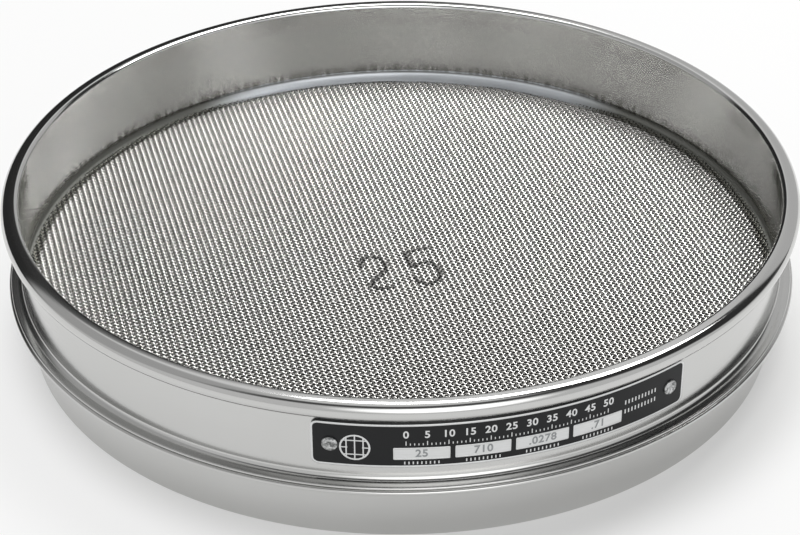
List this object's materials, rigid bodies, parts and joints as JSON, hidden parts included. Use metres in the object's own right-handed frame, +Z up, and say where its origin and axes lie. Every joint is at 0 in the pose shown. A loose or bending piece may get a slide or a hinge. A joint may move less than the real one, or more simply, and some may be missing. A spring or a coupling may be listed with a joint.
{
  "type": "laboratory test sieve",
  "caption": "Shallow round stainless test sieve: rolled rim, nesting skirt, fine woven wire cloth soldered between two rings, curved black nameplate.",
  "frame": {"origin": "centre of the skirt's bottom edge, on the surface that the sieve stands on", "axes": "+Z up through the rim, the nameplate is centred on -Y, +X to the right of someone who reads it"},
  "size_m": [0.2128, 0.2128, 0.0414],
  "materials": {
    "spun_steel": "spun and polished stainless steel",
    "woven_wire": "bright woven stainless wire",
    "solder": "smooth soft solder",
    "plate_enamel": "black filled etched aluminium plate",
    "rivet_metal": "dull rivet head"
  },
  "bodies": {
    "root": {"frame_ring": "spun_steel", "skirt_ring": "spun_steel", "wire_cloth": "woven_wire", "solder_ring": "solder", "nameplate": "plate_enamel", "rivet_left": "rivet_metal", "rivet_right": "rivet_metal"}
  },
  "joints": []
}
